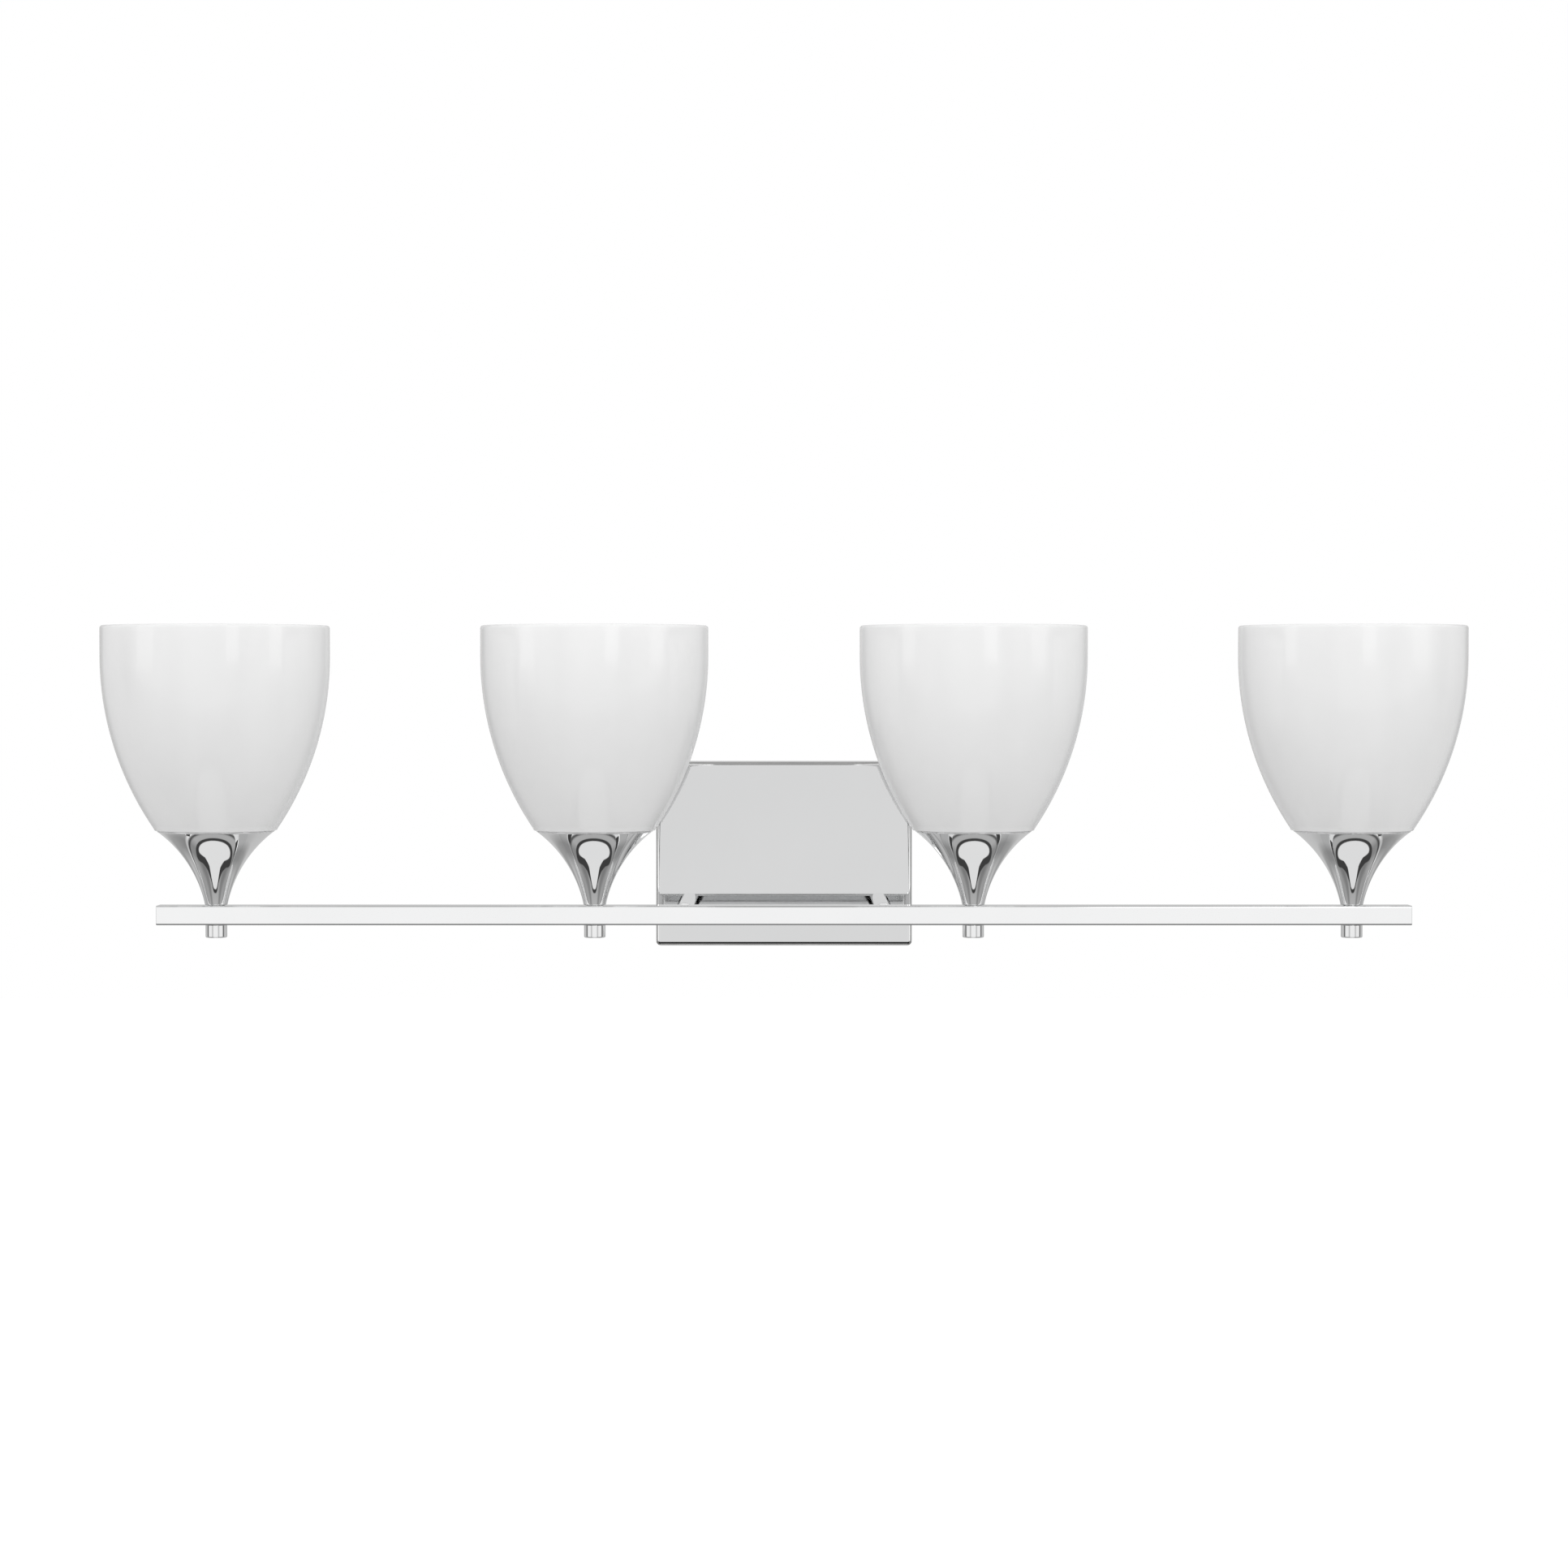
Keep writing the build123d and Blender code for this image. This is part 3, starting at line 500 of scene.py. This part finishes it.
low, high = (np.array(v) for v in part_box("bar_tube"))
middle, half = (low + high) / 2, (high - low) / 2
barRings = []
leftEnd = roundedEnd(low[0], -1, bar["endEdge"], 5)[::-1]
rightEnd = roundedEnd(high[0], 1, bar["endEdge"], 5)
pastEdge = bar["endEdge"] * bar["support"]
straight = [(low[0] + pastEdge, 0.0), (high[0] - pastEdge, 0.0)]
for x, inset in leftEnd + straight + rightEnd:
    barRings.append(boxRing(x, middle, half[1] - inset, half[2] - inset, bar["corner"] - inset))
for x in (high[0], high[0] - bar["innerStep"], low[0] + bar["innerStep"], low[0]):
    barRings.append(boxRing(x, middle, half[1] - bar["wall"], half[2] - bar["wall"], bar["innerCorner"]))
barPiece = loft("squareBar", np.array(barRings))
place(barPiece, "frame", "polished_chrome", barChrome, "bar_tube")
endPlugs = (("bar_end_cap_left", "endPlugLeft", -1), ("bar_end_cap_right", "endPlugRight", 1))
for node, name, outward in endPlugs:
    low, high = (np.array(v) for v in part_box(node))
    middle, half = (low + high) / 2, (high - low) / 2 - bar["seam"]
    face = high[0] if outward > 0 else low[0]
    back = low[0] if outward > 0 else high[0]
    flat = [(back, 0.0), (face - outward * bar["capEdge"] * bar["support"], 0.0)]
    places = flat + roundedEnd(face, outward, bar["capEdge"], 4)
    rings = [boxRing(x, middle, half[1] - inset, half[2] - inset, bar["capCorner"] - inset)
             for x, inset in places]
    capPiece = loft(name, np.array(rings), loop=False)
    place(capPiece, "frame", "polished_chrome", barChrome, node)
print("bar made")


# arms: round tubes from the pan to the bar

arm = {"wall": 0.0012, "edge": 0.00025}
for node, name in (("arm_left", "armLeft"), ("arm_right", "armRight")):
    low, high = (np.array(v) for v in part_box(node))
    radius = (high[0] - low[0]) / 2
    inner = radius - arm["wall"]
    corners = [(radius, low[1]), (radius, high[1]), (inner, high[1]), (inner, low[1])]
    outline = softened(corners, [arm["edge"]] * 4, 4)
    t = np.linspace(0, 2 * np.pi, 96, endpoint=False)
    r, y = outline[:, :1], outline[:, 1:]
    rings = np.stack([(low[0] + high[0]) / 2 + r * np.cos(t), np.repeat(y, len(t), 1),
                      (low[2] + high[2]) / 2 + r * np.sin(t)], -1)
    armPiece = loft(name, rings)
    place(armPiece, "frame", "polished_chrome", chrome, node)
print("arms made")


# wall pan

pan = {"sheet": 0.0012, "frontRadius": 0.0030, "cornerRadius": 0.0034, "cornerShare": 0.9, "rimEdge": 0.0003,
       "support": 1.1}


def panRing(middle, halfWide, halfHigh, radius, y):
    wide, high = rectangle(halfWide, halfHigh, radius, 10).T
    return np.column_stack([middle[0] + wide, np.full(len(wide), y), middle[2] + high])


def panPlaces(front, back, radius, inset):
    # along the side to a quarter-circle turn onto the front: (inset from the side, distance from the wall)
    t = np.linspace(0, np.pi / 2, 14)
    turn = [(inset + radius * (1 - np.cos(a)), front + radius * (1 - np.sin(a))) for a in t]
    past = radius * pan["support"]
    return [(inset, back), (inset, front + past)] + turn + [(inset + past, front)]


low, high = (np.array(v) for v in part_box("backplate"))
middle, half = (low + high) / 2, (high - low) / 2
back = high[1] - pan["rimEdge"]
outside = panPlaces(low[1], back, pan["frontRadius"], 0.0)
inside = panPlaces(low[1] + pan["sheet"], back, pan["frontRadius"] - pan["sheet"], pan["sheet"])
rim = [(pan["sheet"] - pan["rimEdge"], high[1]), (pan["rimEdge"], high[1])]
rings = []
for inset, y in inside[::-1] + rim + outside:
    cornerRadius = pan["cornerRadius"] - inset * pan["cornerShare"]
    rings.append(panRing(middle, half[0] - inset, half[2] - inset, cornerRadius, y))
panPiece = loft("wallPan", np.array(rings), loop=False)
place(panPiece, "frame", "polished_chrome", plateChrome, "backplate")
print("pan made")


# set screws at the pan's sides: a flat end with a key's recess, a hair proud of the plating

screw = {"proud": 0.00012, "keyRadius": 0.0008, "keyDepth": 0.0001, "length": 0.009}
low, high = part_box("plate_set_screws")
radius = (high[2] - low[2]) / 2
screwRings = []
for outward, face in ((-1, low[0] - screw["proud"]), (1, high[0] + screw["proud"])):
    back = face - outward * screw["length"]
    recess = face - outward * screw["keyDepth"]
    along = np.array([back, back, face, face, recess, recess])
    across = np.array([axisGap, radius, radius, screw["keyRadius"], screw["keyRadius"], axisGap])
    t = np.linspace(0, 2 * np.pi, 48, endpoint=False)
    rings = np.stack([np.repeat(along[:, None], len(t), 1),
                      (low[1] + high[1]) / 2 + across[:, None] * np.cos(t),
                      (low[2] + high[2]) / 2 + across[:, None] * np.sin(t)], -1)
    screwRings.append(rings if outward > 0 else rings[:, ::-1])
screwPiece = joinedLofts("sideScrews", screwRings)
place(screwPiece, "frame", "polished_chrome", chrome, "plate_set_screws")


# retaining rings: eight grip notches round a flat ring

ring = {"notches": 8, "notchDepth": 0.0020, "notchWide": 0.0040, "notchSlope": 0.0004, "edge": 0.0005,
        "wide": 0.0065, "rimShare": 1.003}
for number in lampNumbers:
    low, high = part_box("shade_ring_" + number)
    # notches at the four sides make the box a little narrower than the rim
    outer = (high[0] - low[0]) / 2 * ring["rimShare"]
    inner = outer - ring["wide"]
    corners = [(inner, low[2]), (outer, low[2]), (outer, high[2]), (inner, high[2])]
    outline = softened(corners, [ring["edge"]] * 4, 5)

    def notched(r, z, t):
        # the outer half dips to the notch's depth near each of the evenly spaced places
        pitch = 2 * np.pi / ring["notches"]
        away = np.abs((t / pitch + 0.5) % 1 - 0.5) * pitch * outer
        dip = np.clip(((ring["notchWide"] + ring["notchSlope"]) / 2 - away) / ring["notchSlope"], 0, 1)
        return -np.where(r > (inner + outer) / 2, dip * ring["notchDepth"], 0.0)

    ringPiece = lathe("grippedRing" + number, outline, lampCentre(number), 384, True, notched)
    place(ringPiece, "ring_body_" + number, "ring_metal", rolledMetal, "shade_ring_" + number)
print("rings made")


# lamps: a threaded cap with a rounded tip, and a frosted globe on a short neck

lamp = {"pitch": 0.0036, "threadDepth": 0.0007, "threadLow": 0.006, "threadHigh": 0.0035, "threadFade": 0.002,
        "tip": 0.0035, "tipRise": 0.0015, "tipEdge": 0.0006, "skirt": 0.0050, "skirtEdge": 0.0010,
        "tipHeight": 0.0050, "shoulder": 0.0016, "shoulderRise": 0.0012, "shoulderEdge": 0.0008,
        "barrelStart": 0.0016, "barrelEnd": 0.0008, "barrelSteps": 90, "lid": 0.0004, "skin": 0.0001,
        "neckRadius": 0.0136, "neckHeight": 0.010, "neckEdge": 0.0005, "neckInset": 0.0006,
        "neckRise": 0.0008, "blend": 0.006, "domeStart": -44.0, "domeEnd": 89.9, "domeSteps": 56,
        "segments": 128}
for number in lampNumbers:
    low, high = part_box("bulb_base_" + number)
    radius, bottom, top = (high[0] - low[0]) / 2, low[2], high[2]
    tipTop = bottom + lamp["tipHeight"]
    corners = [(axisGap, bottom), (lamp["tip"], bottom), (lamp["skirt"], bottom + lamp["tipRise"]),
               (radius - lamp["shoulder"], tipTop), (radius, tipTop + lamp["shoulderRise"])]
    tipRadii = [0, lamp["tipEdge"], lamp["skirtEdge"], lamp["shoulderEdge"], 0]
    threadZ = np.linspace(tipTop + lamp["barrelStart"], top - lamp["barrelEnd"], lamp["barrelSteps"])
    barrel = np.column_stack([np.full(len(threadZ), radius), threadZ])
    lid = [(radius - lamp["lid"], top), (axisGap, top)]
    outline = np.vstack([softened(corners, tipRadii, 5, False), barrel, lid])

    def threaded(r, z, t):
        # a rounded thread: one turn every pitch, fading out towards both ends of the barrel
        fadeIn = np.clip((z - bottom - lamp["threadLow"]) / lamp["threadFade"], 0, 1)
        fadeOut = np.clip((top - lamp["threadHigh"] - z) / lamp["threadFade"], 0, 1)
        wave = 0.5 - 0.5 * np.cos(2 * np.pi * z / lamp["pitch"] - t)
        return -lamp["threadDepth"] * fadeIn * fadeOut * wave * (r > radius - lamp["skin"])

    capPiece = lathe("threadedCap" + number, outline, lampCentre(number), lamp["segments"], False, threaded)
    place(capPiece, "bulb_body_" + number, "lamp_base", rolledMetal, "bulb_base_" + number)
    globeLow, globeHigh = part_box("bulb_globe_" + number)
    globe = (globeHigh[0] - globeLow[0]) / 2
    centreZ = globeHigh[2] - globe
    neck, neckTop = lamp["neckRadius"], globeLow[2] + lamp["neckHeight"]
    flank = (globe * np.sin(np.pi / 4), centreZ - globe * np.cos(np.pi / 4))
    neckCorners = [(neck - lamp["neckInset"], globeLow[2]), (neck, globeLow[2] + lamp["neckRise"]),
                   (neck, neckTop), flank]
    shoulder = softened(neckCorners, [0, lamp["neckEdge"], lamp["blend"], 0], 12, False)
    dome = arc((0, centreZ), globe, lamp["domeStart"], lamp["domeEnd"], lamp["domeSteps"])
    outline = np.vstack([[(axisGap, globeLow[2])], shoulder[:-1], dome])
    globePiece = lathe("frostedGlobe" + number, outline, lampCentre(number), lamp["segments"], False)
    place(globePiece, "bulb_body_" + number, "frosted_globe", frosted, "bulb_globe_" + number)
print("lamps made")


# twist-on connectors: tapered caps with gripping ribs

connector = {"ribs": 12, "ribDepth": 0.0005, "ribFade": 0.003, "ribSkin": 0.0002, "mouth": 0.0062,
             "length": 0.016, "taper": 6.0, "edge": 0.0008, "mouthEdge": 0.0003, "innerEdge": 0.0004,
             "wall": 0.0011, "tipHole": 0.0002}
low, high = (np.array(v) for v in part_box("wire_connectors"))
reach, mouth, wall = connector["length"], connector["mouth"], connector["wall"]
slope = np.tan(radians(connector["taper"]))
smallEnd = mouth - reach * slope
blackY, whiteY = low[1] + mouth, high[1] - mouth
spots = [(low[0] + mouth, blackY, high[2] - reach, 1), (high[0] - mouth, whiteY, high[2] - reach, 1),
         (0.0, whiteY, low[2] + reach, -1)]
corners = [(mouth - wall, 0.0), (mouth, 0.0), (smallEnd, reach), (connector["tipHole"], reach),
           (connector["tipHole"], reach - wall), (smallEnd - wall, reach - wall)]
radii = [connector["mouthEdge"], connector["mouthEdge"], connector["edge"], 0, 0, connector["innerEdge"]]
body = softened(corners, radii, 6)


def ribbed(r, z, t):
    # shallow ribs on the outside, fading at both ends
    fade = np.clip(z / connector["ribFade"], 0, 1) * np.clip((reach - z) / connector["ribFade"], 0, 1)
    outside = r > mouth - z * slope - connector["ribSkin"]
    return -connector["ribDepth"] * fade * (0.5 - 0.5 * np.cos(connector["ribs"] * t)) * outside


connectorRings = []
for x, y, mouthZ, up in spots:
    turnedRings = turned(body, (x, y), 96, ribbed)
    turnedRings[:, :, 2] = mouthZ + up * turnedRings[:, :, 2]
    connectorRings.append(turnedRings if up > 0 else turnedRings[:, ::-1])
connectorPiece = joinedLofts("ribbedConnectors", connectorRings)
place(connectorPiece, "frame", "connector_plastic", connectorPlastic, "wire_connectors")
print("connectors made")


# CAD nodes that keep their shape and get a real finish

finishes = {
    "mounting_bracket": zincSteel, "arm_nipples": zincSteel, "arm_lock_washers": zincSteel,
    "arm_nuts": zincSteel, "stem_nuts": zincSteel, "seat_discs": zincSteel, "ground_screw": greenSteel,
    "seat_gaskets": silicone, "socket_contacts": brass,
    "lamp_leads_black": insulation["blackInsulation"], "lamp_leads_white": insulation["whiteInsulation"],
    "ground_lead": insulation["greenInsulation"],
}
for number in lampNumbers:
    finishes["stem_" + number] = zincSteel
    finishes["socket_" + number] = porcelain
    finishes["socket_shell_" + number] = brass
for name, material in finishes.items():
    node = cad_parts[name]
    node.data.materials.clear()
    node.data.materials.append(material)
print("finishes given:", len(finishes))


# floor, light and camera

studio = {
    "floorZ": -1.4, "floorSize": 30.0, "floorGlow": 0.6, "ambient": 0.88,
    "climbTones": [(-180, 0.60), (-140, 0.56), (-118, 0.42), (-115.5, 0.95), (-113.5, 0.95),
                   (-112, 0.08), (-110, 0.08), (-108, 0.44), (-75, 0.34), (-45, 0.40), (-24, 0.50),
                   (-18, 0.98), (-8, 0.94), (8, 0.94), (20, 0.86), (30, 1.0), (46, 0.46), (130, 0.46),
                   (180, 0.60)],
    "asideTones": [(0.0, 1.0), (0.36, 1.0), (0.48, 0.62), (0.58, 0.62), (0.70, 0.98), (0.975, 0.95),
                   (0.99, 0.42), (1.0, 0.36)],
    "tableWide": [(-180, 0.70), (-96, 0.66), (-88, 0.50), (-80, 0.37), (-68, 0.28), (180, 0.22)],
    "surroundWide": [(-180, 0.80), (-96, 0.76), (-88, 0.64), (-80, 0.54), (-66, 0.42), (-50, 0.33),
                     (180, 0.30)],
    "tableClimb": -70.0, "tableDeep": 28.0, "tableTone": 0.80, "surroundDeep": 32.0, "surroundTone": 0.05,
    "slitWide": 0.02, "slitClimb": 36.0, "slitHigh": 8.0, "slitTone": 0.02,
}
boxTarget = (0, -0.09, 0.1)
softBoxes = {
    "frontBox": {"position": (0.62, -2.1, 0.62), "size": (0.5, 1.2), "power": 2.2,
                 "mirrored": True},
    "rightBox": {"position": (1.5, -0.75, 0.6), "size": (0.5, 1.2), "power": 1.6,
                 "mirrored": True},
    "leftBox": {"position": (-1.55, -0.7, 0.6), "size": (0.5, 1.2), "power": 1.6,
                "mirrored": True},
    "topBox": {"position": (0.0, -1.4, 1.8), "size": (1.8, 0.8), "power": 12.0,
               "mirrored": False},
}


def makeFloor(s):
    half = s["floorSize"] / 2
    mesh = bpy.data.meshes.new("floor")
    corners = [(-half, -half, s["floorZ"]), (half, -half, s["floorZ"]),
               (half, half, s["floorZ"]), (-half, half, s["floorZ"])]
    mesh.from_pydata(corners, [], [(0, 1, 2, 3)])
    floor = bpy.data.objects.new("floor", mesh)
    bpy.context.scene.collection.objects.link(floor)
    material, tree, shader = newMaterial("paleFloor")
    setSockets(shader, {"Base Color": (0.9, 0.9, 0.9, 1), "Roughness": 0.9, "Specular IOR Level": 0.0,
                        "Emission Color": (1, 1, 1, 1), "Emission Strength": s["floorGlow"]})
    floor.data.materials.append(material)
    floor.visible_glossy = False
    floor.visible_diffuse = False


def distance(tree, first, second):
    return mathNode(tree, "ABSOLUTE", mathNode(tree, "SUBTRACT", first, second))


def blockMask(tree, across, climb, middle, deep):
    # 1 inside a block with well rounded corners: the cube root of (across cubed + along cubed) is under 1
    along = mathNode(tree, "DIVIDE", distance(tree, climb, middle), deep)
    cubes = mathNode(tree, "ADD", mathNode(tree, "POWER", across, 3.0), mathNode(tree, "POWER", along, 3.0))
    size = mathNode(tree, "POWER", cubes, 1 / 3)
    return toneRamp(tree, size, [(0.0, 1), (0.97, 1), (1.0, 0), (2.0, 0)], 0, 2)


def makeWorld(s):
    # the room that the polished parts mirror, by direction: climb is the angle round from the front
    # horizon (0) up over the top (90) to the back (180), and aside is how far it points left or right
    world = bpy.data.worlds.new("studio")
    bpy.context.scene.world = world
    world.use_nodes = True
    tree = world.node_tree
    background = tree.nodes["Background"]
    x, y, z = directions(tree, "Generated")
    climb = mathNode(tree, "DEGREES", mathNode(tree, "ARCTAN2", z, mathNode(tree, "MULTIPLY", y, -1.0)))
    aside = mathNode(tree, "ABSOLUTE", x)
    room = toneRamp(tree, climb, s["climbTones"], -180, 180)
    flank = toneRamp(tree, aside, s["asideTones"], 0, 1)
    tone = multiplied(tree, room, flank)
    # a bright table top low in front that is wider near the lamp, with a near-black surround
    wide = toneRamp(tree, climb, s["tableWide"], -180, 180)
    inTable = blockMask(tree, mathNode(tree, "DIVIDE", aside, wide), climb, s["tableClimb"], s["tableDeep"])
    beside = mathNode(tree, "DIVIDE", aside, toneRamp(tree, climb, s["surroundWide"], -180, 180))
    inSurround = blockMask(tree, beside, climb, s["tableClimb"], s["surroundDeep"])
    withEdge = mixTones(tree, inSurround, tone, s["surroundTone"])
    withTable = mixTones(tree, inTable, withEdge, s["tableTone"])
    # a narrow dark upright above the lens
    narrow = mathNode(tree, "LESS_THAN", aside, s["slitWide"])
    raised = mathNode(tree, "LESS_THAN", distance(tree, climb, s["slitClimb"]), s["slitHigh"])
    withSlit = mixTones(tree, mathNode(tree, "MULTIPLY", narrow, raised), withTable, s["slitTone"])
    # mirrors see the room, the lens sees plain white, and everything else is lit by a pale grey
    rays = tree.nodes.new("ShaderNodeLightPath")
    lit = mixTones(tree, rays.outputs["Is Glossy Ray"], s["ambient"], withSlit)
    seen = mixTones(tree, rays.outputs["Is Camera Ray"], lit, 1.0)
    tree.links.new(seen, background.inputs["Color"])
    background.inputs["Strength"].default_value = 1.0


def areaLight(name, light):
    # a soft box that faces the shared target; some show in reflections, none show to the lens
    data = bpy.data.lights.new(name, "AREA")
    data.shape = "RECTANGLE"
    data.size, data.size_y = light["size"]
    data.energy = light["power"]
    softBox = bpy.data.objects.new(name, data)
    bpy.context.scene.collection.objects.link(softBox)
    softBox.location = light["position"]
    aim = Vector(boxTarget) - Vector(light["position"])
    softBox.rotation_euler = aim.to_track_quat("-Z", "Y").to_euler()
    softBox.visible_camera = False
    softBox.visible_glossy = light["mirrored"]


makeFloor(studio)
makeWorld(studio)
for name, light in softBoxes.items():
    areaLight(name, light)
camera = {"position": (0.0, -2.415, 0.111), "pitch": 1.553, "lens": 83.0, "sensor": 36.0}
cameraData = bpy.data.cameras.new("camera")
cameraData.lens = camera["lens"]
cameraData.sensor_width = camera["sensor"]
cameraObject = bpy.data.objects.new("camera", cameraData)
cameraObject.location = camera["position"]
cameraObject.rotation_euler = (radians(90 - camera["pitch"]), 0, 0)
bpy.context.scene.collection.objects.link(cameraObject)
bpy.context.scene.camera = cameraObject
bpy.context.scene.view_settings.view_transform = "Standard"
print("studio ready")
